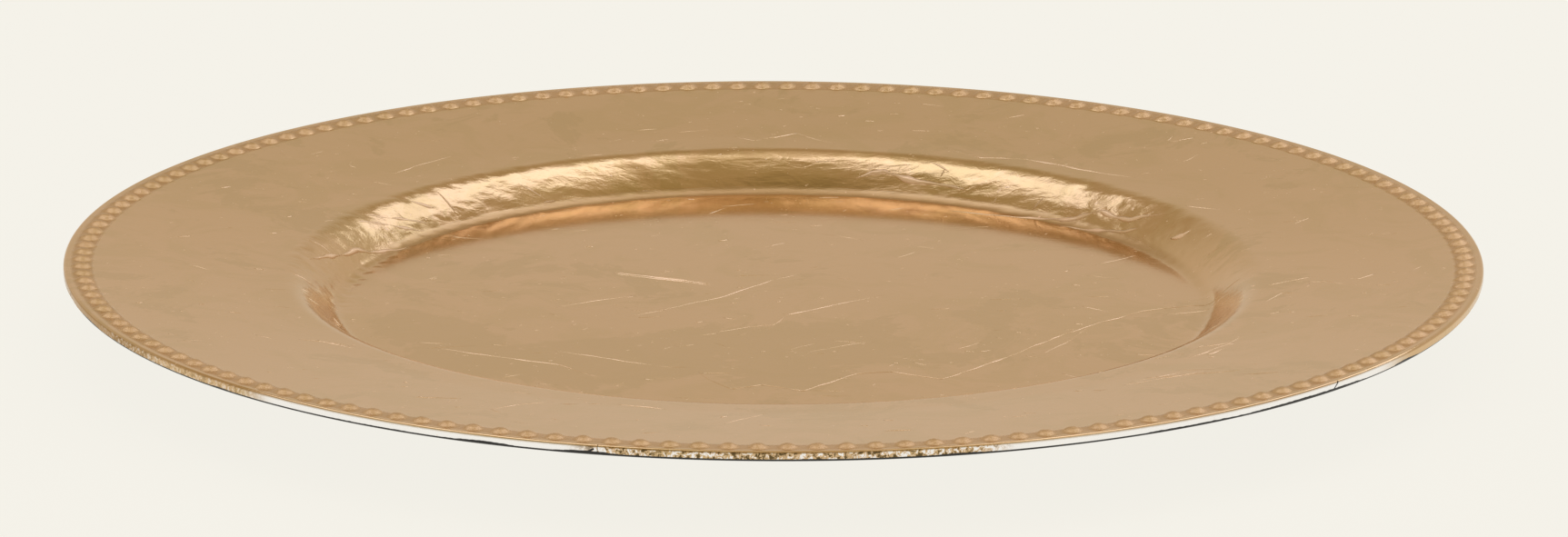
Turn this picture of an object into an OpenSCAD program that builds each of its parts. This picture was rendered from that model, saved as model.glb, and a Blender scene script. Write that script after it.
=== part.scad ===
// Charger plate: a round under-plate with a beaded rim, moulded in one piece
// and covered on its front with sheets of gold leaf.
// The origin is on the table under the plate's centre, and +Z is up.
// The front of the plate, towards the viewer, is at -Y.

/* [Plate] */
// Outside diameter
plate_d = 330; // [300:1:360]
// Height of the lip's top edge above the table
edge_h = 18; // [16:0.5:24]
// Thickness of rim and floor, leaf included
wall_t = 2.3; // [1.8:0.1:3]
// Diameter of the flat floor of the well
floor_d = 200; // [180:1:215]
// Steepness of the wall around the well, in degrees
wall_deg = 42; // [30:1:50]
// How far the rim climbs outwards, in degrees
rim_deg = 5.2; // [3:0.1:6]
// Radius of the fillet between floor and wall
floor_fillet = 4.5; // [3:0.1:7]
// Radius of the rounded crest between wall and rim
crest_round = 10; // [6:0.5:12]
// Radius of the lip's top edge
lip_round = 0.7; // [0.4:0.05:0.9]
// Radius of the lip's bottom edge
lip_under_round = 0.5; // [0.3:0.05:0.8]

/* [Beads] */
// Number of beads around the rim
bead_n = 160; // [120:1:168]
// Width of a bead where it meets the rim
bead_w = 4.6; // [3:0.1:5]
// Height of a bead above the rim
bead_h = 0.95; // [0.6:0.05:1.2]
// Width of the plain lip outside the beads
lip_w = 2.05; // [1.6:0.05:4]

/* [Foot] */
// Height of the foot ring under the floor
foot_h = 2.6; // [2:0.1:4]
// Width of the flat that stands on the table
foot_flat_w = 1.8; // [1.2:0.1:3]
// Widening of the foot ring towards the floor, on each side
foot_draft_w = 0.5; // [0.3:0.05:1]
// Plain strip of floor underside between foot ring and wall
foot_inset = 2; // [1:0.1:6]
// Diameter of the gate mark left by moulding
gate_d = 9; // [6:0.5:14]
// Height of the gate mark below the floor's underside
gate_h = 0.5; // [0.3:0.1:1]
// Diameter of the round sink in the gate mark
gate_sink_d = 4; // [2:0.5:5]
// Depth of the round sink in the gate mark
gate_sink_h = 0.3; // [0.1:0.05:0.6]

/* [Leaf] */
// Thickness of the leaf with its ground and varnish
leaf_t = 0.25; // [0.2:0.05:0.4]
// Side of the square that a sheet of leaf covers
sheet_w = 160.9; // [156:0.1:165]
// How far left of the plate's centre one seam between sheets runs
left_seam_x = 37.6; // [10:0.1:50]
// How far in front of the plate's centre one seam between sheets runs
front_seam_y = 37.5; // [10:0.1:50]

/* [Hidden] */

// Colours of the moulding and of the leaf
body_colour = [0.07, 0.065, 0.07];
leaf_colours = [
  [0.76, 0.61, 0.44],
  [0.72, 0.57, 0.40]
];

// Smoothness of turned surfaces, and the steps in a rounded part of the outline
$fn = 128;
arc_steps = 8;
// What every cut and blank reaches past the piece it works on
overrun = 1;

plate_r = plate_d / 2;
floor_r = floor_d / 2;
floor_z = foot_h + wall_t;

// Centres of the three roundings of the visible face
fillet_c = [floor_r, floor_z + floor_fillet];
lip_c = [plate_r - lip_round, edge_h - lip_round];
wall_foot = arc_point(fillet_c, floor_fillet, 180 - wall_deg);
rim_end = arc_point(lip_c, lip_round, -rim_deg);
wall_run = (rim_end.y - (rim_end.x - wall_foot.x) * tan(rim_deg) - wall_foot.y)
  / (sin(wall_deg) - cos(wall_deg) * tan(rim_deg));
corner = wall_foot + wall_run * [cos(wall_deg), sin(wall_deg)];
crest_run = crest_round * tan((wall_deg - rim_deg) / 2);
crest_c = corner
  + crest_run * [cos(rim_deg), sin(rim_deg)]
  + crest_round * [sin(rim_deg), -cos(rim_deg)];

bead_pitch_deg = 360 / bead_n;

// A bead is the cap of a ball whose centre lies under the rim's face
bead_r = (pow(bead_w / 2, 2) + pow(bead_h, 2)) / (2 * bead_h);
bead_ring_r = plate_r - lip_w - bead_w / 2;
bead_deep = bead_r - bead_h;
bead_c = [
  bead_ring_r + bead_deep * sin(rim_deg),
  rim_z(bead_ring_r) - bead_deep * cos(rim_deg)
];

// Foot ring, from the wall inwards
foot_outer_r = floor_r - foot_inset;
foot_mid_r = foot_outer_r - foot_draft_w - foot_flat_w / 2;

// The other two seams, and the outer corners of the sheets past the plate's edge
right_seam_x = sheet_w - left_seam_x;
back_seam_y = sheet_w - front_seam_y;
far = plate_r + overrun;

// Height of the rim's visible face at radius r
function rim_z(r) = rim_end.y - (rim_end.x - r) * tan(rim_deg);

// A point on a circle, its angle counted from straight up towards the rim
function arc_point(c, r, a) = c + r * [sin(a), cos(a)];

// The points of an arc from angle a to angle b
function arc(c, r, a, b) = [
  for (i = [0:arc_steps])
    arc_point(c, r, a + (b - a) * i / arc_steps)
];

// The plate's upper face, sunk by t, from the centre to the end of the rim
function face(t) = concat(
  [[0, floor_z - t]],
  arc(fillet_c, floor_fillet + t, 180, 180 - wall_deg),
  arc(crest_c, crest_round - t, -wall_deg, -rim_deg)
);

// The rounded lip, sunk by t, from the rim's end down to height z
function lip(t, z) = concat(
  arc(lip_c, lip_round - t, -rim_deg, 90),
  [[plate_r - t, z]]
);

function reversed(points) = [
  for (i = [len(points) - 1:-1:0])
    points[i]
];

// Underside of the rim where the lip's bottom edge begins to round
under_line_z = rim_end.y - wall_t / cos(rim_deg);
under_c = [
  plate_r - leaf_t - lip_under_round,
  under_line_z - (rim_end.x - plate_r + leaf_t + lip_under_round) * tan(rim_deg)
    + lip_under_round / cos(rim_deg)
];

// Half section of the moulding, without its beads and foot
module body_section() {
  polygon(concat(
    face(leaf_t),
    lip(leaf_t, under_c.y),
    arc(under_c, lip_under_round, 90, 180 - rim_deg),
    reversed(face(wall_t))
  ));
}

// Half section of the foot ring, let into the floor by half its thickness
module foot_section() {
  half_flat = foot_flat_w / 2;
  half_root = half_flat + foot_draft_w;
  polygon([
    [foot_mid_r - half_flat, 0],
    [foot_mid_r + half_flat, 0],
    [foot_mid_r + half_root, foot_h],
    [foot_mid_r + half_root, foot_h + wall_t / 2],
    [foot_mid_r - half_root, foot_h + wall_t / 2],
    [foot_mid_r - half_root, foot_h]
  ]);
}

// Half section of the leaf, all the way from the centre to the lip
module leaf_section() {
  polygon(concat(
    face(0),
    lip(0, under_c.y),
    reversed(lip(leaf_t, under_c.y)),
    reversed(face(leaf_t))
  ));
}

// Whether the bead at angle a touches the box between two corners
function bead_in(a, low, high) =
  bead_c.x * cos(a) > low.x - bead_w
  && bead_c.x * cos(a) < high.x + bead_w
  && bead_c.x * sin(a) > low.y - bead_w
  && bead_c.x * sin(a) < high.y + bead_w;

// Every bead's place near the box between two corners, on its ball's centre
module at_beads(low, high) {
  for (i = [0:bead_n - 1]) {
    a = (i + 0.5) * bead_pitch_deg;
    if (bead_in(a, low, high))
      rotate([0, 0, a])
        translate([bead_c.x, 0, bead_c.y])
          rotate([0, -rim_deg, 0])
            children();
  }
}

// A ball sunk by t, with its poles and its seam down in the rim
module bead_ball(t) {
  rotate([0, 90, 0])
    sphere(r = bead_r - t);
}

// The cap of that ball, down to a flat base that is let into the rim by depth
module bead_cap(t, depth) {
  intersection() {
    bead_ball(t);
    translate([0, 0, bead_deep - depth])
      cylinder(r = bead_r + overrun, h = depth + bead_h + overrun);
  }
}

// Turns a section from a line on the left, or for side -1 from one on the right
module turned(side) {
  rotate([0, 0, side > 0 ? 180 : 0])
    rotate_extrude()
      children();
}

// The block of space above the table between two corners
module block(low, high) {
  translate([low.x, low.y, 0])
    cube([high.x - low.x, high.y - low.y, edge_h + bead_h + overrun]);
}

// The right half of the moulding, or for side -1 the left one. The line from
// which it is turned lies in the other half, clear of its beads.
module moulding_half(side) {
  low = [side > 0 ? 0 : -far, -far];
  high = [side > 0 ? far : 0, far];
  gate_z = foot_h - gate_h;
  intersection() {
    difference() {
      union() {
        turned(side)
          body_section();
        turned(side)
          foot_section();
        translate([0, 0, gate_z])
          cylinder(d = gate_d, h = gate_h + wall_t / 2);
        at_beads(low, high)
          bead_cap(leaf_t, wall_t / 2);
      }
      translate([0, 0, gate_z - overrun])
        cylinder(d = gate_sink_d, h = gate_sink_h + overrun);
    }
    block(low, high);
  }
}

// The moulded plate: floor, wall, rim and beads, with its foot ring and gate mark
module plate_body() {
  color(body_colour)
    union() {
      moulding_half(1);
      moulding_half(-1);
    }
}

// One sheet of leaf, pressed over the moulding between two corners of the grid
module leaf_sheet(low, high, shade) {
  color(leaf_colours[shade])
    intersection() {
      difference() {
        union() {
          turned(low.x > 0 ? 1 : -1)
            leaf_section();
          at_beads(low, high)
            bead_cap(0, leaf_t / 2);
        }
        at_beads(low, high)
          bead_ball(leaf_t);
      }
      block(low, high);
    }
}

module centre_leaf() leaf_sheet([-left_seam_x, -front_seam_y], [right_seam_x, back_seam_y], 0);
module front_leaf() leaf_sheet([-left_seam_x, -far], [right_seam_x, -front_seam_y], 1);
module left_leaf() leaf_sheet([-far, -front_seam_y], [-left_seam_x, back_seam_y], 1);
module right_leaf() leaf_sheet([right_seam_x, -front_seam_y], [far, back_seam_y], 1);
module front_left_leaf() leaf_sheet([-far, -far], [-left_seam_x, -front_seam_y], 0);
module front_right_leaf() leaf_sheet([right_seam_x, -far], [far, -front_seam_y], 0);
module back_leaf() leaf_sheet([-left_seam_x, back_seam_y], [right_seam_x, far], 1);
module back_left_leaf() leaf_sheet([-far, back_seam_y], [-left_seam_x, far], 0);

plate_body();
centre_leaf();
front_leaf();
left_leaf();
right_leaf();
front_left_leaf();
front_right_leaf();
back_leaf();
back_left_leaf();
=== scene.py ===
import math
import random

import bmesh
import bpy
from mathutils import Matrix, Vector, noise
from mathutils.bvhtree import BVHTree


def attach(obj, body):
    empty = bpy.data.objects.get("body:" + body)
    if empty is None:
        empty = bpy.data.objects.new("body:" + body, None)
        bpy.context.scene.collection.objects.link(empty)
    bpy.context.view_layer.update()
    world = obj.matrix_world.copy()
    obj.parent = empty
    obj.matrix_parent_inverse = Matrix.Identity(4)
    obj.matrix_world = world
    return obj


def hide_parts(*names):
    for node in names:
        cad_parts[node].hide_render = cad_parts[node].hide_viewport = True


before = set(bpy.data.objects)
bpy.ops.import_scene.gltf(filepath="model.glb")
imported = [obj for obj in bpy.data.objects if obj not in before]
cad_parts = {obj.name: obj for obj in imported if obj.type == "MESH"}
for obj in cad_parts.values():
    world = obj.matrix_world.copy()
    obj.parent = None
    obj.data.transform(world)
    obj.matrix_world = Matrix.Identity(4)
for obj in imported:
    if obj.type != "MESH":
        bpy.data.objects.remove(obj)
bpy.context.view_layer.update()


# The moulding is one piece of satin black polypropylene, turned in form, with a
# foot ring and a gate mark underneath. Leaf covers its face and its edge, so it
# shows from below and where a sheet of leaf is torn.
MM = 0.001
UP = Vector((0, 0, 1))
PLATE_R = 165 * MM
EDGE_H = 18 * MM
WALL_T = 2.3 * MM
FLOOR_R = 100 * MM
FLOOR_Z = 4.9 * MM
WALL_SLOPE = math.radians(42)
WALL_BOW = math.radians(7)
RIM_SLOPE = math.radians(5.2)
FILLET_R = 4.5 * MM
CREST_R = 10 * MM
LIP_R = 0.7 * MM
UNDER_R = 0.5 * MM
LEAF_T = 0.25 * MM
BEAD_COUNT = 160
BEAD_R = 2.3 * MM
BEAD_H = 0.95 * MM
BEAD_RING_R = 160.65 * MM
BEAD_SOFT = 0.16 * MM
BAND_START_R = 157.7 * MM
BAND_END_R = 163.6 * MM
PITCH = 2 * math.pi / BEAD_COUNT
CREST_END_R = 122 * MM
FOOT_OUTER_R = 98 * MM
FOOT_INNER_R = 95.2 * MM
FOOT_FLAT_OUTER_R = 97.3 * MM
FOOT_FLAT_INNER_R = 95.9 * MM
FOOT_SOFT = 0.35 * MM
FOOT_FLAT_SOFT = 0.25 * MM
GATE_R = 4.5 * MM
GATE_H = 0.5 * MM
GATE_SOFT = 0.2 * MM
GATE_SINK_R = 2 * MM
GATE_SINK_H = 0.3 * MM
SPECK = 0.001 * MM
HAIR = 0.01 * MM
BODY_BLACK = (0.012, 0.011, 0.012, 1)
BODY_GREY = (0.02, 0.019, 0.02, 1)


def rise(slope):
    """A step of length 1 up a slope, outwards from the plate's centre."""
    return Vector((math.cos(slope), 0, math.sin(slope)))


def on_arc(centre, radius, lean):
    """The point of an arc that leans outwards from straight above its centre."""
    return centre + radius * Vector((math.sin(lean), 0, math.cos(lean)))


fillet_c = Vector((FLOOR_R, 0, FLOOR_Z + FILLET_R))
lip_c = Vector((PLATE_R - LIP_R, 0, EDGE_H - LIP_R))
wall_foot = on_arc(fillet_c, FILLET_R, math.pi - WALL_SLOPE)
rim_end = on_arc(lip_c, LIP_R, -RIM_SLOPE)
reach = rim_end - wall_foot
wall_run = (reach.z - reach.x * math.tan(RIM_SLOPE)) / (
    math.sin(WALL_SLOPE) - math.cos(WALL_SLOPE) * math.tan(RIM_SLOPE)
)
crest_run = CREST_R * math.tan((WALL_SLOPE - RIM_SLOPE) / 2)
crest_c = on_arc(
    wall_foot + wall_run * rise(WALL_SLOPE) + crest_run * rise(RIM_SLOPE),
    -CREST_R,
    -RIM_SLOPE,
)
edge_bottom = (
    rim_end.z
    - WALL_T / math.cos(RIM_SLOPE)
    + (PLATE_R - LEAF_T - UNDER_R - rim_end.x) * math.tan(RIM_SLOPE)
    + UNDER_R / math.cos(RIM_SLOPE)
)


def rim_z(r):
    """How high the rim's face is at a radius."""
    return rim_end.z - (rim_end.x - r) * math.tan(RIM_SLOPE)


class Outline:
    """Half the outline of a turned piece, drawn like a pencil line."""

    def __init__(self, x, z):
        self.mesh = bmesh.new()
        self.end = self.mesh.verts.new((x, 0, z))

    def line(self, x, z, step):
        """Draws straight on to a point, in pieces about one step long."""
        run = Vector((x, 0, z)) - self.end.co
        count = max(1, round(run.length / step))
        for _ in range(count):
            made = bmesh.ops.extrude_vert_indiv(self.mesh, verts=[self.end])
            self.end = made["verts"][0]
            bmesh.ops.translate(self.mesh, verts=[self.end], vec=run / count)

    def bend(self, centre, turn, step):
        """Draws an arc around a centre, through an angle."""
        length = abs(turn) * (self.end.co - centre).length
        made = bmesh.ops.spin(
            self.mesh,
            geom=[self.end],
            cent=centre,
            axis=(0, 1, 0),
            angle=turn,
            steps=max(2, round(length / step)),
        )
        self.end = made["geom_last"][0]


def draw_face(outline, sunk, step):
    """Draws a face from the floor's centre to the edge's bottom, its wall a little bowed.

    It lies below the leaf's own face by as much as it is sunk.
    """
    outline.line(0.9 * FLOOR_R, FLOOR_Z - sunk, step=9 * step)
    outline.line(FLOOR_R, FLOOR_Z - sunk, step=2 * step)
    outline.bend(fillet_c, -(WALL_SLOPE + WALL_BOW), step)
    wall_start = outline.end.co.copy()
    wall_end = on_arc(crest_c, CREST_R - sunk, WALL_BOW - WALL_SLOPE)
    bow_r = (wall_end - wall_start).length / (2 * math.sin(WALL_BOW))
    bow_c = on_arc(wall_start, -bow_r, -WALL_SLOPE - WALL_BOW)
    outline.bend(bow_c, 2 * WALL_BOW, step)
    outline.bend(crest_c, WALL_SLOPE - WALL_BOW - RIM_SLOPE, step)
    drop = sunk / math.cos(RIM_SLOPE)
    outline.line(CREST_END_R, rim_z(CREST_END_R) - drop, step=1.5 * step)
    outline.line(BAND_START_R, rim_z(BAND_START_R) - drop, step=6 * step)
    outline.line(BAND_END_R, rim_z(BAND_END_R) - drop, step=0.75 * step)
    lip_start = on_arc(lip_c, LIP_R - sunk, -RIM_SLOPE)
    outline.line(lip_start.x, lip_start.z, step)
    outline.bend(lip_c, math.pi / 2 + RIM_SLOPE, step=0.4 * step)
    outline.line(PLATE_R - sunk, edge_bottom, step=0.4 * step)


def bead_lift(spot, sunk):
    """How far a bead in the middle of the first pitch lifts this spot, its foot softened."""
    r = math.hypot(spot.x, spot.y)
    across = r * (math.atan2(spot.y, spot.x) - PITCH / 2)
    off = math.hypot((r - BEAD_RING_R) / math.cos(RIM_SLOPE), across)
    ball_r = (BEAD_R**2 + BEAD_H**2) / (2 * BEAD_H)
    deep = ball_r - BEAD_H - sunk
    over = math.sqrt(max(0, (ball_r - sunk) ** 2 - off**2)) - deep
    soft = math.hypot(over, BEAD_SOFT)
    return (over + soft) / 2 - (math.hypot(deep, BEAD_SOFT) - deep) / 2


def split_around(mesh, start_r, end_r, low, cuts):
    """Splits the edges that run around the plate between two radii, above a height."""
    around = [
        e
        for e in mesh.edges
        if all(start_r < v.co.xy.length < end_r and v.co.z > low for v in e.verts)
        and abs(e.verts[0].co.z - e.verts[1].co.z) < SPECK
        and abs(e.verts[0].co.xy.length - e.verts[1].co.xy.length) < SPECK
    ]
    bmesh.ops.subdivide_edges(mesh, edges=around, cuts=cuts, use_grid_fill=True)


def turn_with_beads(outline, sunk, columns):
    """Turns one pitch of the outline, raises its bead, and repeats it all round."""
    mesh = outline.mesh
    bmesh.ops.spin(
        mesh,
        geom=mesh.verts[:] + mesh.edges[:],
        cent=(0, 0, 0),
        axis=UP,
        angle=PITCH,
        steps=columns,
    )
    split_around(mesh, BAND_START_R - 0.1 * MM, 2 * PLATE_R, edge_bottom - HAIR, cuts=3)
    outwards = Vector((math.cos(PITCH / 2), math.sin(PITCH / 2), 0))
    rim_up = math.cos(RIM_SLOPE) * UP - math.sin(RIM_SLOPE) * outwards
    for v in mesh.verts:
        r = v.co.xy.length
        if BAND_START_R < r < BAND_END_R and v.co.z > rim_z(r) - 1.5 * sunk - HAIR:
            v.co += bead_lift(v.co, sunk) * rim_up
    bmesh.ops.spin(
        mesh,
        geom=mesh.verts[:] + mesh.edges[:] + mesh.faces[:],
        cent=(0, 0, 0),
        axis=UP,
        angle=2 * math.pi - PITCH,
        steps=BEAD_COUNT - 1,
        use_duplicate=True,
    )
    bmesh.ops.remove_doubles(mesh, verts=mesh.verts, dist=SPECK)
    bmesh.ops.recalc_face_normals(mesh, faces=mesh.faces)
    return mesh


def make_piece(name, mesh, finish, slot, *nodes):
    """Makes an object of a finished mesh, in place of the CAD nodes that are named."""
    for face in mesh.faces:
        face.smooth = True
    data = bpy.data.meshes.new(name)
    mesh.to_mesh(data)
    mesh.free()
    data.materials.append(finish)
    piece = bpy.data.objects.new(name, data)
    bpy.context.scene.collection.objects.link(piece)
    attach(piece, "root")
    if nodes:
        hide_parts(*nodes)
    return piece


class Number:
    """A number or colour that varies over a surface. Sums on it add Math nodes."""

    def __init__(self, wiring, socket):
        self.wiring = wiring
        self.socket = socket

    def sum(self, operation, *values):
        inputs = dict(enumerate(values))
        return self.wiring.add("ShaderNodeMath", {"operation": operation}, inputs)

    def __add__(self, other):
        return self.sum("ADD", self, other)

    def __sub__(self, other):
        return self.sum("SUBTRACT", self, other)

    def __rsub__(self, other):
        return self.sum("SUBTRACT", other, self)

    def __mul__(self, other):
        return self.sum("MULTIPLY", self, other)

    def __abs__(self):
        return self.sum("ABSOLUTE", self)

    __radd__ = __add__
    __rmul__ = __mul__


class Wiring:
    """The nodes of a material or of the room. One method adds any node and wires it up."""

    def __init__(self, tree):
        self.tree = tree
        self.tree.nodes.clear()

    def add(self, kind, settings=None, inputs=None, output=0):
        node = self.tree.nodes.new(kind)
        for key, value in (settings or {}).items():
            if key == "stops":
                self.set_stops(node.color_ramp.elements, value)
            else:
                setattr(node, key, value)
        for key, value in (inputs or {}).items():
            if isinstance(value, Number):
                self.tree.links.new(value.socket, node.inputs[key])
            else:
                node.inputs[key].default_value = value
        return Number(self, node.outputs[output]) if node.outputs else None

    def set_stops(self, elements, stops):
        """Sets a colour ramp's stops, each of them a place and a colour."""
        while len(elements) < len(stops):
            elements.new(1)
        for element, (place, *shade) in zip(elements, stops):
            element.position = place
            element.color = (*shade, 1)

    def noise(self, place, scale, detail=2, rough=0.5, twist=0):
        """A cloudy pattern, with so many clouds to the metre."""
        inputs = {"Vector": place, "Scale": scale, "Detail": detail}
        inputs |= {"Roughness": rough, "Distortion": twist}
        return self.add("ShaderNodeTexNoise", None, inputs)

    def step(self, value, start, end):
        """0 up to the start, 1 from the end, and smooth between them."""
        inputs = {"Value": value, 1: start, 2: end, 3: 0, 4: 1}
        settings = {"interpolation_type": "SMOOTHSTEP"}
        return self.add("ShaderNodeMapRange", settings, inputs)

    def mix(self, share, first, second):
        """The first colour, with a share of the second one."""
        inputs = {0: share, 6: first, 7: second}
        return self.add("ShaderNodeMix", {"data_type": "RGBA"}, inputs, 2)

    def stretch(self, place, by):
        """A place with its x, y and z each made larger by so many times."""
        settings = {"operation": "MULTIPLY"}
        return self.add("ShaderNodeVectorMath", settings, {0: place, 1: by})


class Finish(Wiring):
    """A material, its patterns placed by Object coordinates and its bumps in millimetres."""

    def __init__(self, name):
        self.material = bpy.data.materials.new(name)
        self.material.use_nodes = True
        super().__init__(self.material.node_tree)

    def place(self):
        """Where on the object a point lies, in metres."""
        return self.add("ShaderNodeTexCoord", output=3)

    def surface(self, height, inputs):
        """Ends the material: a height in millimetres makes its bumps."""
        bump = {"Strength": 1.0, "Distance": MM, "Height": height}
        inputs["Normal"] = self.add("ShaderNodeBump", None, bump)
        shader = self.add("ShaderNodeBsdfPrincipled", None, inputs)
        self.add("ShaderNodeOutputMaterial", None, {"Surface": shader})
        return self.material


def satin_moulding():
    """Moulded black plastic, with a fine grain and faint marks of its flow."""
    finish = Finish("satin black moulding")
    place = finish.place()
    grain = finish.noise(place, 900, 3, 0.6)
    flow = finish.noise(place, 22, 2, 0.5, 0.6)
    tone = finish.mix(flow, BODY_BLACK, BODY_GREY)
    return finish.surface(0.012 * grain, {"Base Color": tone, "Roughness": 0.3 + 0.12 * flow})


def draw_moulding():
    """Draws the moulding: along its face, around the edge, and back underneath."""
    outline = Outline(0, FLOOR_Z - LEAF_T)
    draw_face(outline, sunk=LEAF_T, step=1 * MM)
    under_c = Vector((PLATE_R - LEAF_T - UNDER_R, 0, edge_bottom))
    outline.bend(under_c, math.pi / 2 - RIM_SLOPE, step=0.15 * MM)
    rim_back = on_arc(crest_c, CREST_R - WALL_T, -RIM_SLOPE)
    outline.line(rim_back.x, rim_back.z, step=4 * MM)
    outline.bend(crest_c, RIM_SLOPE - WALL_SLOPE, step=0.8 * MM)
    foot_back = on_arc(fillet_c, FILLET_R + WALL_T, math.pi - WALL_SLOPE)
    outline.line(foot_back.x, foot_back.z, step=2 * MM)
    outline.bend(fillet_c, WALL_SLOPE, step=0.8 * MM)
    under_z = FLOOR_Z - WALL_T
    outline.line(FOOT_OUTER_R + FOOT_SOFT, under_z, step=1 * MM)
    outline.line(FOOT_OUTER_R, under_z - FOOT_SOFT, step=0.3 * MM)
    outline.line(FOOT_FLAT_OUTER_R + FOOT_FLAT_SOFT, FOOT_SOFT, step=0.8 * MM)
    outline.line(FOOT_FLAT_OUTER_R, 0, step=0.3 * MM)
    outline.line(FOOT_FLAT_INNER_R, 0, step=0.7 * MM)
    outline.line(FOOT_FLAT_INNER_R - FOOT_FLAT_SOFT, FOOT_SOFT, step=0.3 * MM)
    outline.line(FOOT_INNER_R, under_z - FOOT_SOFT, step=0.8 * MM)
    outline.line(FOOT_INNER_R - FOOT_SOFT, under_z, step=0.3 * MM)
    gate_z = under_z - GATE_H
    sink_z = gate_z + GATE_SINK_H
    outline.line(GATE_R + FOOT_SOFT, under_z, step=9 * MM)
    outline.line(GATE_R, gate_z + 0.75 * GATE_SOFT, step=0.3 * MM)
    outline.line(GATE_R - GATE_SOFT, gate_z, step=0.2 * MM)
    outline.line(GATE_SINK_R, gate_z, step=1 * MM)
    outline.line(GATE_SINK_R - GATE_SOFT, sink_z, step=0.2 * MM)
    outline.line(0, sink_z, step=1 * MM)
    return outline


make_piece(
    "moulding",
    turn_with_beads(draw_moulding(), sunk=LEAF_T, columns=2),
    satin_moulding(),
    "moulding",
    "plate_body",
)


# The leaf is thin imitation gold, laid over the face in square sheets on a tacky
# ground and varnished. It creases where it is pressed over the wall, crinkles on
# the edge, and ends ragged there, with a tear where two sheets meet.
SHEET_T = 0.1 * MM
LEFT_SEAM_X = -37.6 * MM
RIGHT_SEAM_X = 123.3 * MM
FRONT_SEAM_Y = -37.5 * MM
BACK_SEAM_Y = 123.4 * MM
CREASE_H = 0.22 * MM
CREASE_SIZE = 7 * MM
FRONT_SHARE = 0.15
BACK_LEAN = 0.25
BACK_Y = 50 * MM
FRONT_SLANT = 2.9
BEAD_ROUGH = 0.07 * MM
CRINKLE_DEPTH = 0.12 * MM
CRINKLE_SIZE = 1.3 * MM
RAGGED_H = 0.7 * MM
RAGGED_SIZE = 16 * MM
LEAF = (0.65, 0.45, 0.24, 1)
LIGHT_LEAF = (0.71, 0.485, 0.27, 1)
PATCHY_LEAF = (0.645, 0.45, 0.23, 1)
OLIVE_LEAF = (0.59, 0.415, 0.2, 1)
BEAD_PAINTED_SHADE = (0.54, 0.34, 0.16, 1)
FOOT_PAINTED_SHADE = (0.47, 0.295, 0.13, 1)
FRONT_WALL_PAINTED_LIGHT = (1.0, 0.83, 0.58, 1)
LEFT_EDGE_BROWN = (0.34, 0.18, 0.05, 1)
PAINTED_REFLECTION_WHITE = (0.97, 0.96, 0.96, 1)
PAINTED_DARK_REFLECTION = (0.1, 0.065, 0.02, 1)
PAINTED_GLINT_LEAF = (1.0, 0.75, 0.53, 1)
GRAZING_TINT = (0.95, 0.88, 0.8, 1)
VARNISH = 0.16


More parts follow.
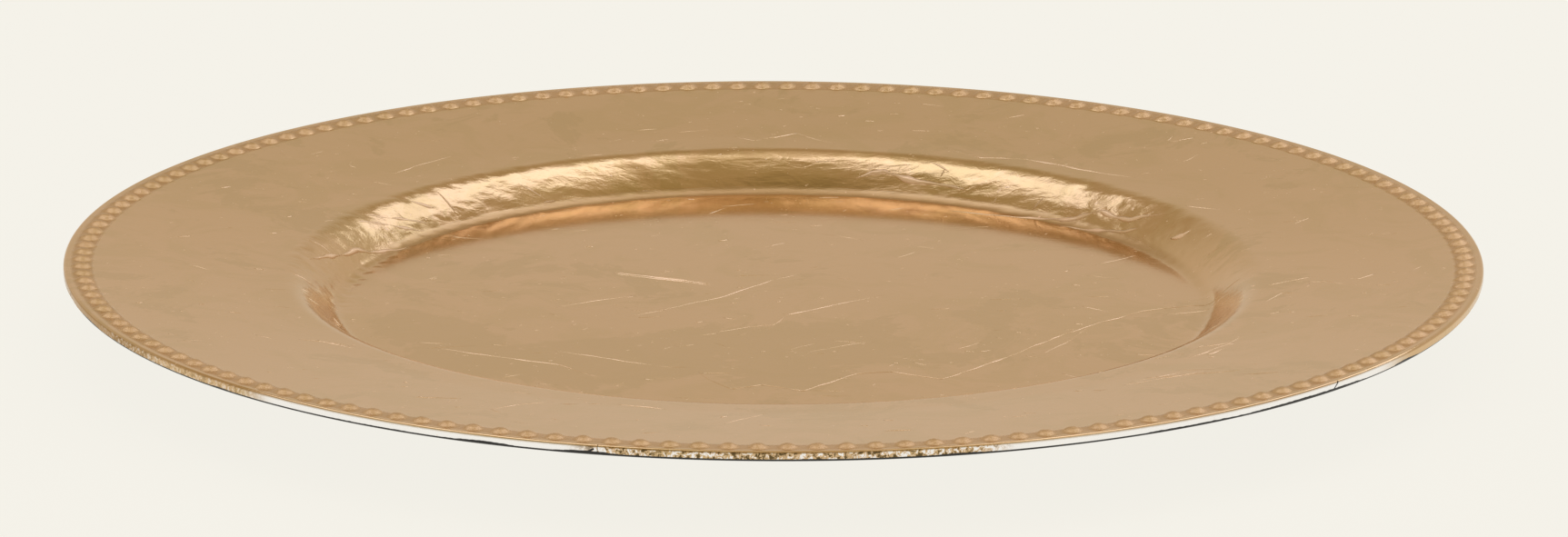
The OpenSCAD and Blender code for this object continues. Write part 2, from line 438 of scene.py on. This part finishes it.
def gold_leaf():
    """Gold leaf under varnish, its tone and gloss changing over the face, beads and edge."""
    finish = Finish("gold leaf")
    place = finish.place()
    x = finish.add("ShaderNodeSeparateXYZ", None, {"Vector": place}, 0)
    y = finish.add("ShaderNodeSeparateXYZ", None, {"Vector": place}, 1)
    z = finish.add("ShaderNodeSeparateXYZ", None, {"Vector": place}, 2)
    flat = finish.stretch(place, (1, 1, 0))
    radius = finish.add("ShaderNodeVectorMath", {"operation": "LENGTH"}, {0: flat}, 1)
    drawn = finish.stretch(place, (0.4, 1, 1.2))
    rub = finish.add("ShaderNodeAttribute", {"attribute_name": "rub"}, output=2)

    # The leaf's own patterns, from slow changes of tone to its grain and its creases
    drift = finish.noise(place, 16, 3, 0.55, 0.4)
    patch = finish.noise(place, 45, 4, 0.65, 1.2)
    grain = finish.noise(place, 1500, 2, 0.6)
    crumple = finish.noise(drawn, 420, 4, 0.6, 1.2)
    crease = 1 - abs(2 * finish.noise(drawn, 190, 3, 0.55, 0.8) - 1)
    crinkle = finish.noise(place, 900, 4, 0.7, 0.5)
    ragged = finish.noise(place, 30, 7, 0.7, 0.5)

    def between(value, start, end, soft):
        """1 from the start to the end, in millimetres, with a soft limit at each."""
        return finish.step(value, (start - soft) * MM, (start + soft) * MM) * (
            1 - finish.step(value, (end - soft) * MM, (end + soft) * MM)
        )

    # The wall and its foot. The foot at the back is darkened, a painted shade, and the front of the
    # wall is painted paler, a painted reflection, up to a line that slants back to its foot.
    at_back = finish.step(y - BACK_LEAN * x, 0, BACK_Y)
    at_back = FRONT_SHARE + (1 - FRONT_SHARE) * at_back
    on_wall = at_back * between(radius, 101, 113, 1.5)
    shaded_foot = finish.step(y, 25 * MM, 65 * MM) * between(radius, 100.2, 103, 0.9)
    up_front = y + FRONT_SLANT * (radius - 103 * MM)
    painted_light_front_wall = (1 - finish.step(up_front, -6 * MM, 10 * MM)) * between(radius, 103, 110.5, 0.8)

    # The beads, darkened with painted shade, and the edge with its stretches: crinkled with painted
    # white glints and dark painted reflections, a stretch painted white as a painted reflection,
    # and a brown one at its left end
    on_beads = between(radius, 158.3, 163.2, 0.5)
    past_lip = finish.step(radius, 164.3 * MM, 164.5 * MM)
    on_edge = past_lip * (1 - finish.step(z, 17.6 * MM, 17.85 * MM))
    crinkled = 0.4 * between(x, -150, -113, 4) + between(x, -40, 48, 5)
    painted_reflection_stretch = between(x, -113, 138, 5) * (1 - crinkled)
    brown_left_edge = on_edge * (1 - finish.step(x, -146 * MM, -133 * MM))
    painted_edge_reflection = on_edge * painted_reflection_stretch * finish.step(finish.noise(place, 120, 3), 0.2, 0.3)
    white_glint_specks = on_edge * crinkled * finish.step(crinkle, 0.52, 0.58)
    dark_reflection_specks = on_edge * crinkled * (1 - finish.step(crinkle, 0.42, 0.48))

    # Ragged olive patches, and folds and flecks painted paler, a painted highlight for the glints
    # they catch
    in_front = between(y, -66, -24, 16) * between(x, -95, 32, 24) * between(radius, -9, 97, 3)
    olive = finish.step(ragged + 0.22 * in_front, 0.56, 0.6)
    glint_fleck = finish.step(finish.noise(place, 480, 2, 0.7), 0.7, 0.75)
    pale = finish.add("ShaderNodeMath", {"operation": "MAXIMUM"}, {0: rub, 1: 0.8 * glint_fleck})

    colour = finish.mix(drift, LEAF, LIGHT_LEAF)
    colour = finish.mix(finish.step(patch, 0.45, 0.62), colour, PATCHY_LEAF)
    colour = finish.mix(0.7 * olive, colour, OLIVE_LEAF)
    # Painted shade: the beads are darkened
    colour = finish.mix(0.4 * on_beads, colour, BEAD_PAINTED_SHADE)
    # Painted shade at the back of the wall's foot, and a painted reflection that makes the front of
    # the wall paler
    colour = finish.mix(0.75 * shaded_foot, colour, FOOT_PAINTED_SHADE)
    colour = finish.mix(0.95 * painted_light_front_wall, colour, FRONT_WALL_PAINTED_LIGHT)
    colour = finish.mix(0.75 * brown_left_edge, colour, LEFT_EDGE_BROWN)
    # Painted reflections on the edge: white in a stretch and in specks, and dark specks in the
    # crinkled stretch
    colour = finish.mix(painted_edge_reflection + 0.95 * white_glint_specks, colour, PAINTED_REFLECTION_WHITE)
    colour = finish.mix(0.95 * dark_reflection_specks, colour, PAINTED_DARK_REFLECTION)
    # Painted highlight: folds and flecks are paler
    colour = finish.mix(0.9 * pale, colour, PAINTED_GLINT_LEAF)
    softer = shaded_foot + 1.5 * on_beads + 0.4 * on_wall
    height = 0.008 * grain + (0.012 + 0.08 * on_wall) * crumple + 0.06 * on_wall * crease
    height = height + (0.06 * on_edge + 0.11 * on_beads) * crinkle
    return finish.surface(
        height,
        {
            "Base Color": colour,
            "Metallic": 1 - 0.15 * pale,
            "Roughness": 0.09 + 0.04 * drift + 0.28 * pale + 0.22 * softer,
            "Specular Tint": GRAZING_TINT,
            "Coat Weight": VARNISH - VARNISH * brown_left_edge,
            "Coat Roughness": 0.06,
        },
    )


def smooth_step(value, start, end):
    """0 up to the start, 1 from the end, and smooth between them."""
    share = min(1, max(0, (value - start) / (end - start)))
    return share * share * (3 - 2 * share)


def creases(spot, size):
    """Sharp creases, drawn out from side to side: about 0 along them, up to 1 between."""
    drawn = Vector((0.4 * spot.x, spot.y, 1.2 * spot.z)) / size
    return noise.turbulence(drawn, 3, True)


def crease_on_wall(v, r):
    """Creases the leaf on the wall: most at the back, and finer towards its ends."""
    on_wall = smooth_step(r, 97 * MM, 101 * MM) * (1 - smooth_step(r, 111 * MM, 115 * MM))
    at_back = smooth_step(v.co.y - BACK_LEAN * v.co.x, 0, BACK_Y)
    on_wall *= FRONT_SHARE + (1 - FRONT_SHARE) * at_back
    if on_wall:
        caught_up = smooth_step(abs(v.co.x), 50 * MM, 80 * MM)
        lift = 0.5 - creases(v.co, CREASE_SIZE)
        lift += caught_up * (0.5 - creases(v.co, 0.45 * CREASE_SIZE))
        v.co += max(on_wall * CREASE_H * lift, -0.6 * LEAF_T) * v.normal


def crinkle_edge(v):
    """Crinkles the leaf on the outer edge, and lets it end ragged at the bottom."""
    on_edge = smooth_step(EDGE_H - v.co.z, 0.3 * MM, 0.7 * MM)
    if on_edge:
        crinkled = smooth_step(v.co.x, -43 * MM, -38 * MM)
        crinkled -= smooth_step(v.co.x, 40 * MM, 56 * MM)
        depth = noise.noise(v.co / CRINKLE_SIZE) + 0.4
        depth *= on_edge * CRINKLE_DEPTH * (0.15 + 0.85 * crinkled)
        v.co.xy *= 1 - max(0, depth) / v.co.xy.length
        torn = 0.15 + noise.noise(v.co / RAGGED_SIZE) + 0.15 * noise.noise(v.co / MM)
        down = (EDGE_H - LIP_R - v.co.z) / (EDGE_H - LIP_R - edge_bottom)
        v.co.z += max(0, down) * max(0.16, torn) * RAGGED_H


def press_leaf(mesh):
    """Presses the leaf over the wall, the beads and the edge."""
    mesh.normal_update()
    for v in mesh.verts:
        r = v.co.xy.length
        crease_on_wall(v, r)
        if BAND_START_R < r < BAND_END_R and v.co.z > rim_z(r) + 0.1 * MM:
            v.co += BEAD_ROUGH * noise.noise(v.co / MM) * v.normal
        if r > PLATE_R - 0.3 * MM:
            crinkle_edge(v)


leaf_finish = gold_leaf()
whole_outline = Outline(0, FLOOR_Z)
draw_face(whole_outline, sunk=0, step=0.5 * MM)
whole_leaf = turn_with_beads(whole_outline, sunk=0, columns=4)
press_leaf(whole_leaf)
leaf_tree = BVHTree.FromBMesh(whole_leaf)


def cut_off(mesh, place, outwards):
    """Cuts off what lies beyond a place, on the side that the direction gives."""
    bmesh.ops.bisect_plane(
        mesh,
        geom=mesh.verts[:] + mesh.edges[:] + mesh.faces[:],
        plane_co=place,
        plane_no=outwards,
        clear_outer=True,
        dist=0.1 * SPECK,
    )


def cut_sheet(columns, rows):
    """Cuts a sheet between two limits in x and two in y, where None is the plate's edge."""
    sheet = whole_leaf.copy()
    for limit, side in zip(columns, (-1, 1)):
        if limit is not None:
            cut_off(sheet, (limit, 0, 0), (side, 0, 0))
    for limit, side in zip(rows, (-1, 1)):
        if limit is not None:
            cut_off(sheet, (0, limit, 0), (0, side, 0))
    return sheet


def tear(sheet, x, y, lean, low, high, width):
    """Tears a slit up the edge of a sheet, from a foot at a low height to a high one."""
    outwards = Vector((x, y, 0)).normalized()
    along = UP.cross(outwards)
    up_slit = math.cos(lean) * UP + math.sin(lean) * along
    across = math.cos(lean) * along - math.sin(lean) * UP
    foot = PLATE_R * outwards + low * UP
    length = (high - low) / math.cos(lean)

    def near_slit():
        """The faces near the slit, each with the way to it from the slit's foot."""
        for face in sheet.faces:
            way = face.calc_center_median() - foot
            if way.length < 3 * MM and abs(way.dot(outwards)) < 1 * MM:
                yield face, way

    for side in (-0.5, 0.5):
        faces = [face for face, _ in near_slit()]
        # A dict keeps the order of the faces, where a set has another one in each run
        edges = dict.fromkeys(e for face in faces for e in face.edges)
        verts = dict.fromkeys(v for face in faces for v in face.verts)
        bmesh.ops.bisect_plane(
            sheet,
            geom=[*faces, *edges, *verts],
            plane_co=foot + side * width * across,
            plane_no=across,
            dist=0.1 * SPECK,
        )
    torn_out = [
        face
        for face, way in near_slit()
        if abs(way.dot(across)) < width / 2 and 0 < way.dot(up_slit) < length
    ]
    bmesh.ops.delete(sheet, geom=torn_out, context="FACES")


def slit(x, y, lean, low, high, width):
    """Where a slit is on the edge and how it runs, in millimetres and degrees."""
    return x * MM, y * MM, math.radians(lean), low * MM, high * MM, width * MM


def thicken(piece, thickness):
    """Gives a sheet its thickness, inwards from its face."""
    skin = piece.modifiers.new("thickness", "SOLIDIFY")
    skin.thickness = thickness
    skin.offset = -1


LEFT_TEAR = slit(-40.2, -160.0, lean=60, low=16.0, high=17.2, width=0.45)
LEFT_SEAM_TEAR = slit(-37.4, -160.6, lean=0, low=16.5, high=18.2, width=0.14)
RIGHT_TEAR = slit(122.8, -110.2, lean=50, low=16.0, high=18.2, width=0.3)
NOTCH = slit(-160.6, -38.0, lean=10, low=16.0, high=17.6, width=0.5)
MIDDLE_X = (LEFT_SEAM_X, RIGHT_SEAM_X)
MIDDLE_Y = (FRONT_SEAM_Y, BACK_SEAM_Y)
for name, columns, rows, tears in (
    ("centre_leaf", MIDDLE_X, MIDDLE_Y, ()),
    ("front_leaf", MIDDLE_X, (None, FRONT_SEAM_Y), (LEFT_SEAM_TEAR, RIGHT_TEAR)),
    ("left_leaf", (None, LEFT_SEAM_X), MIDDLE_Y, ()),
    ("right_leaf", (RIGHT_SEAM_X, None), MIDDLE_Y, ()),
    ("front_left_leaf", (None, LEFT_SEAM_X), (None, FRONT_SEAM_Y), (LEFT_TEAR, NOTCH)),
    ("front_right_leaf", (RIGHT_SEAM_X, None), (None, FRONT_SEAM_Y), (RIGHT_TEAR,)),
    ("back_leaf", MIDDLE_X, (BACK_SEAM_Y, None), ()),
    ("back_left_leaf", (None, LEFT_SEAM_X), (BACK_SEAM_Y, None), ()),
):
    mesh = cut_sheet(columns, rows)
    for place in tears:
        tear(mesh, *place)
    for edge in mesh.edges:
        edge.smooth = not edge.is_boundary
    thicken(make_piece(name + "_sheet", mesh, leaf_finish, "gold_leaf", name), SHEET_T)
whole_leaf.free()


# Where the leaf was laid double or caught up, it stands in narrow folded ridges,
# pressed down by hand and painted paler than the leaf around them, a painted
# highlight for the glints they catch. They are the same leaf, and lie on the
# sheets under the varnish. Each long fold is given as how strong it is, and the
# places in millimetres that it runs through.
LONG_FOLDS = (
    (1.2, (-38, 27.4), (-28, 23.4), (-15, 17.4)),
    (1.2, (-38, 26.2), (-28, 22.2), (-15, 16.2)),
    (0.5, (-28, -7), (-13, 5), (-1, 20), (7, 28)),
    (0.6, (-14, -25), (-6, -20), (0, -18), (3, -10), (11, -3), (26, 8)),
    (0.4, (-51, -4), (-42, 2), (-32, 7)),
    (0.8, (-77, -39), (-67, -44), (-56, -49), (-49, -52), (-39, -63)),
    (0.4, (-79, -39), (-68, -37)),
    (0.6, (-50, -41), (-41, -45), (-34, -49), (-24, -54), (-19, -54)),
    (0.5, (-17, -58), (-14, -65), (-9, -72), (-3, -68), (7, -73), (11, -68), (19, -59),
     (27, -57), (38, -63), (46, -54), (56, -41), (65, -28), (76, -15), (86, -5), (98, 0),
     (109, 0)),
    (0.5, (72, -1), (78, -6)),
    (0.4, (90, -9), (104, -3), (110, -8)),
    (0.3, (42, -38), (48, -32)),
    (0.3, (62, -41), (67, -33), (74, -17)),
    (0.4, (-57, -99), (-53, -68), (-48, -69)),
    (0.3, (7, -42), (18, -34), (24, -32)),
    (0.5, (77, -101), (96, -91)),
    (0.5, (82, -95), (105, -92)),
    (0.4, (92, -78), (104, -64)),
    (0.5, (-79, -117), (-68, -116)),
    (0.4, (-62, -127), (-56, -120), (-48, -115)),
    (0.7, (-34, -116), (-28, -118), (-23, -120)),
    (0.25, (-11, -135), (-1, -123)),
    (0.4, (-103, -65), (-94, -71)),
    (0.5, (-93, 83), (-88, 90), (-79, 100)),
    (0.35, (-35, 125), (-29, 127)),
    (0.3, (-24, 124), (-16, 127)),
    (0.4, (-10, 122), (-5, 119), (6, 125), (11, 120), (16, 116)),
    (0.7, (42, 113), (51, 104), (62, 102), (69, 97), (80, 88), (89, 83)),
    (1.0, (20, 103), (24, 104), (27, 104), (32, 101), (43, 96), (47, 94)),
    (1.0, (43, 86), (53, 82), (62, 79), (79, 70), (86, 62), (94, 57)),
    (0.7, (69, 72), (79, 65), (88, 57)),
    (1.0, (95, 46), (98, 44), (100, 44)),
    (0.3, (11, 64), (24, 57)),
    (0.3, (33, 53), (39, 50)),
    (0.4, (76, 35), (87, 45)),
    (0.4, (-49, 104), (-42, 106)),
    (0.8, (-109, 12), (-99, 35), (-88, 49)),
    (0.8, (-100, 46), (-93, 52), (-84, 60)),
    (0.7, (-98, 51), (-88, 59), (-83, 63)),
    (0.6, (-88, 66), (-82, 68)),
    (0.7, (-112, -5), (-107, -4)),
    (0.6, (-109, -16), (-107, -14)),
    (0.35, (-117, -65), (-113, -67)),
    (0.35, (-107, -66), (-102, -66), (-94, -69)),
    (0.8, (-82, -107), (-80, -106)),
    (0.4, (-78, -116), (-75, -117)),
    (0.4, (114, -14), (120, -11), (125, -9)),
    (0.4, (127, -13), (130, -16), (136, -21)),
    (0.3, (139, -21), (143, -22)),
    (0.4, (113, -28), (117, -22), (121, -22)),
    (0.5, (95, -68), (99, -66), (104, -64)),
    (0.5, (97, -75), (102, -69)),
    (0.4, (79, -98), (91, -91)),
    (0.4, (136, 64), (142, 63)),
    (0.35, (99, 58), (107, 54)),
)
SHORT_FOLDS = 300
SHORT_FOLDS_END_R = PLATE_R - 12 * MM
SHORTEST_FOLD = 1.2 * MM
LONGEST_FOLD = 9 * MM
FOLD_STEP = 0.7 * MM
FOLD_T = 0.04 * MM
FOLD_W = 0.35 * MM
FOLD_W_BY_STRENGTH = 0.95 * MM
FOLD_H = 0.05 * MM
FOLD_H_BY_STRENGTH = 0.1 * MM
FOLD_SIDE_DEPTH = 0.03 * MM
FOLD_MAX_DEPTH = 0.05 * MM
# The seed of all chance in the folds, so that each run lays the same ones
FOLD_SEED = 7
STRAY = 0.5 * MM
STRAY_SIZE = 6 * MM
FADE_SIZE = 5 * MM


def walk(path, step):
    """Places at even steps along a path, led a little astray as leaf creases are."""
    spots = []
    for start, end in zip(path, path[1:]):
        run = Vector(end) - Vector(start)
        count = max(2, round(run.length / step))
        spots += [Vector(start) + run * i / count for i in range(count)]
    spots.append(Vector(path[-1]))
    for spot in spots:
        spot += STRAY * noise.noise_vector(spot.to_3d() / STRAY_SIZE).xy
    return spots


def lay_fold(mesh, glint_layer, path, strong):
    """Lays one ridge of leaf along a path. Where it is weak it sinks out of sight."""
    spots = walk(path, FOLD_STEP)
    last = len(spots) - 1
    made = bmesh.ops.create_grid(mesh, x_segments=last, y_segments=2, size=1)
    for v in made["verts"]:
        i = round((v.co.x + 1) / 2 * last)
        side = round(v.co.y)
        ahead = spots[min(i + 1, last)] - spots[max(i - 1, 0)]
        across = Vector((-ahead.y, ahead.x)).normalized()
        share = math.sqrt(abs(math.sin(math.pi * i / last)))
        share *= 0.8 + 0.9 * noise.noise(spots[i].to_3d() / FADE_SIZE)
        width = (FOLD_W + FOLD_W_BY_STRENGTH * strong) * max(0.1, share)
        spot = spots[i] + side * width / 2 * across
        ground, _, _, _ = leaf_tree.ray_cast(spot.to_3d() + UP, -UP)
        ridge = (FOLD_H + FOLD_H_BY_STRENGTH * strong) * share
        lift = ridge if side == 0 else -FOLD_SIDE_DEPTH
        v.co = ground + max(lift, -FOLD_MAX_DEPTH) * UP
        # How strongly this spot of the fold is painted paler, as a painted highlight
        v[glint_layer] = math.sqrt(strong) * max(0, min(1, share))


def scatter_folds(mesh, glint_layer, count):
    """Lays short folds all over the face, mostly from side to side."""
    draw = random.Random(FOLD_SEED)
    for _ in range(count):
        r = SHORT_FOLDS_END_R * math.sqrt(draw.random())
        a = draw.uniform(0, 2 * math.pi)
        lean = draw.gauss(mu=0.15, sigma=0.5)
        length = SHORTEST_FOLD + draw.expovariate(lambd=0.35) * MM
        middle = Vector((r * math.cos(a), r * math.sin(a)))
        half = min(length, LONGEST_FOLD) / 2 * Vector((math.cos(lean), math.sin(lean)))
        strong = 0.15 + 0.5 * draw.random() ** 2
        lay_fold(mesh, glint_layer, (middle - half, middle, middle + half), strong)


noise.seed_set(FOLD_SEED)
folds = bmesh.new()
glint_layer = folds.verts.layers.float.new("rub")
for strong, *path in LONG_FOLDS:
    lay_fold(folds, glint_layer, [(x * MM, y * MM) for x, y in path], strong)
scatter_folds(folds, glint_layer, SHORT_FOLDS)
bmesh.ops.recalc_face_normals(folds, faces=folds.faces)
if sum(face.normal.z for face in folds.faces) < 0:
    bmesh.ops.reverse_faces(folds, faces=folds.faces)
thicken(make_piece("leaf_folds", folds, leaf_finish, "gold_leaf"), FOLD_T)


# The table is a wide, plain, pale sheet. Seen straight on or in a mirror it shows
# its own pale colour, and towards all else it only passes on the light it gets.
TABLE_LIT = (0.74, 0.72, 0.66, 1)
TABLE_SEEN = (0.94, 0.918, 0.848, 1)
TABLE_GLOW = 0.93
TABLE_HALF_W = 40
table = Finish("pale table")
seen = table.add("ShaderNodeLightPath").socket.node.outputs
watched = ("Is Camera Ray", "Is Glossy Ray", "Is Transmission Ray")
by_eye = sum(Number(table, seen[name]) for name in watched)
lit = table.add("ShaderNodeBsdfDiffuse", None, {"Color": TABLE_LIT})
glow = table.add("ShaderNodeEmission", None, {"Color": TABLE_SEEN, "Strength": 1.0})
both = table.add("ShaderNodeMixShader", None, {0: TABLE_GLOW * by_eye, 1: lit, 2: glow})
table.add("ShaderNodeOutputMaterial", None, {"Surface": both})
top = bmesh.new()
bmesh.ops.create_grid(top, x_segments=1, y_segments=1, size=TABLE_HALF_W)
top_data = bpy.data.meshes.new("table")
top.to_mesh(top_data)
top.free()
top_data.materials.append(table.material)
table_top = bpy.data.objects.new("table", top_data)
bpy.context.scene.collection.objects.link(table_top)


# The studio is a plain room with soft light walls, dimmer above the camera, and
# a soft lamp high behind the plate on each side.
world = bpy.data.worlds.new("studio")
world.use_nodes = True
bpy.context.scene.world = world
room = Wiring(world.node_tree)
DIM_WAY = (-0.17, -0.63, 0.757)
DIM_SHADE = (0.47, 0.375, 0.21, 1)
DIMMEST_SHADE = (0.27, 0.21, 0.105, 1)
direction = room.add("ShaderNodeTexCoord")
height = room.add("ShaderNodeSeparateXYZ", None, {"Vector": direction}, 2)
behind = room.add("ShaderNodeSeparateXYZ", None, {"Vector": direction}, 1)
ways = {0: direction, 1: DIM_WAY}
toward = room.add("ShaderNodeVectorMath", {"operation": "DOT_PRODUCT"}, ways, 1)
# Each shade of the walls is a height, from 0 level with the plate to 1 overhead, and a colour
WALL_SHADES = (
    (0.0, 0.75, 0.68, 0.58),
    (0.08, 0.74, 0.67, 0.575),
    (0.26, 0.715, 0.635, 0.54),
    (0.42, 0.655, 0.585, 0.475),
    (0.6, 0.5, 0.395, 0.25),
    (0.74, 0.5, 0.395, 0.25),
    (0.86, 0.66, 0.57, 0.42),
    (0.92, 0.86, 0.77, 0.62),
    (0.985, 0.86, 0.77, 0.62),
    (1.0, 0.6, 0.52, 0.4),
)
walls = room.add("ShaderNodeValToRGB", {"stops": WALL_SHADES}, {"Fac": height})
dim = room.step(toward, 0.5, 0.78) * room.step(height, 0.55, 0.78)
dim = dim * (1 - room.step(behind, 0.04, 0.14))
shade = room.mix(dim, walls, DIM_SHADE)
shade = room.mix(room.step(toward, 0.88, 0.99) * dim, shade, DIMMEST_SHADE)
back = room.add("ShaderNodeBackground", None, {"Color": shade})
room.add("ShaderNodeOutputWorld", None, {"Surface": back})


LAMP_D = 1.6
LAMP_COLOUR = (0.84, 0.94, 1.25)


def add_lamp(name, azimuth, elevation, width, height, power):
    """A soft lamp aimed at the plate. Azimuth 0 is the viewer's side, and 90 the right."""
    data = bpy.data.lights.new(name, "AREA")
    data.shape = "RECTANGLE"
    data.size = width
    data.size_y = height
    data.color = LAMP_COLOUR
    data.energy = power
    lamp = bpy.data.objects.new(name, data)
    a, e = math.radians(azimuth), math.radians(elevation)
    aim = Vector((math.sin(a) * math.cos(e), -math.cos(a) * math.cos(e), math.sin(e)))
    lamp.location = LAMP_D * aim
    lamp.rotation_mode = "QUATERNION"
    lamp.rotation_quaternion = aim.to_track_quat("Z", "Y")
    bpy.context.scene.collection.objects.link(lamp)


add_lamp("left softbox", azimuth=-136, elevation=62, width=0.66, height=0.92, power=2.4)
add_lamp("right softbox", azimuth=141, elevation=50, width=0.68, height=1.16, power=3.3)


# The camera looks down at the plate from 15 degrees above it, 1.8 m away. Its
# lens, roll and shifts are fitted to the plate's outline in a picture of 1725 by
# 591 pixels, where the middle of the plate's edge lies at PLATE_X and PLATE_Y.
VIEW_TILT = 0.263513220
VIEW_D = 1.8
VIEW_ROLL = 0.00388310767
PIXELS_PER_MM = 4.71741386
PICTURE_W = 1725
PICTURE_H = 591
PLATE_X = 851.047907
PLATE_Y = 274.833258
camera_data = bpy.data.cameras.new("camera")
camera_data.sensor_width = 36
camera_data.lens = PIXELS_PER_MM * VIEW_D / MM / PICTURE_W * camera_data.sensor_width
camera_data.shift_x = (PICTURE_W / 2 - PLATE_X) / PICTURE_W
camera_data.shift_y = (PLATE_Y - PICTURE_H / 2) / PICTURE_W
camera_data.clip_start = 0.05
camera_data.clip_end = 200
camera = bpy.data.objects.new("camera", camera_data)
to_camera = Vector((0, -math.cos(VIEW_TILT), math.sin(VIEW_TILT)))
camera.location = EDGE_H * UP + VIEW_D * to_camera
camera.rotation_mode = "QUATERNION"
roll = Matrix.Rotation(VIEW_ROLL, 3, "Z")
camera.rotation_quaternion = (to_camera.to_track_quat("Z", "Y").to_matrix() @ roll).to_quaternion()
bpy.context.scene.collection.objects.link(camera)
bpy.context.scene.camera = camera
bpy.context.scene.view_settings.view_transform = "Standard"
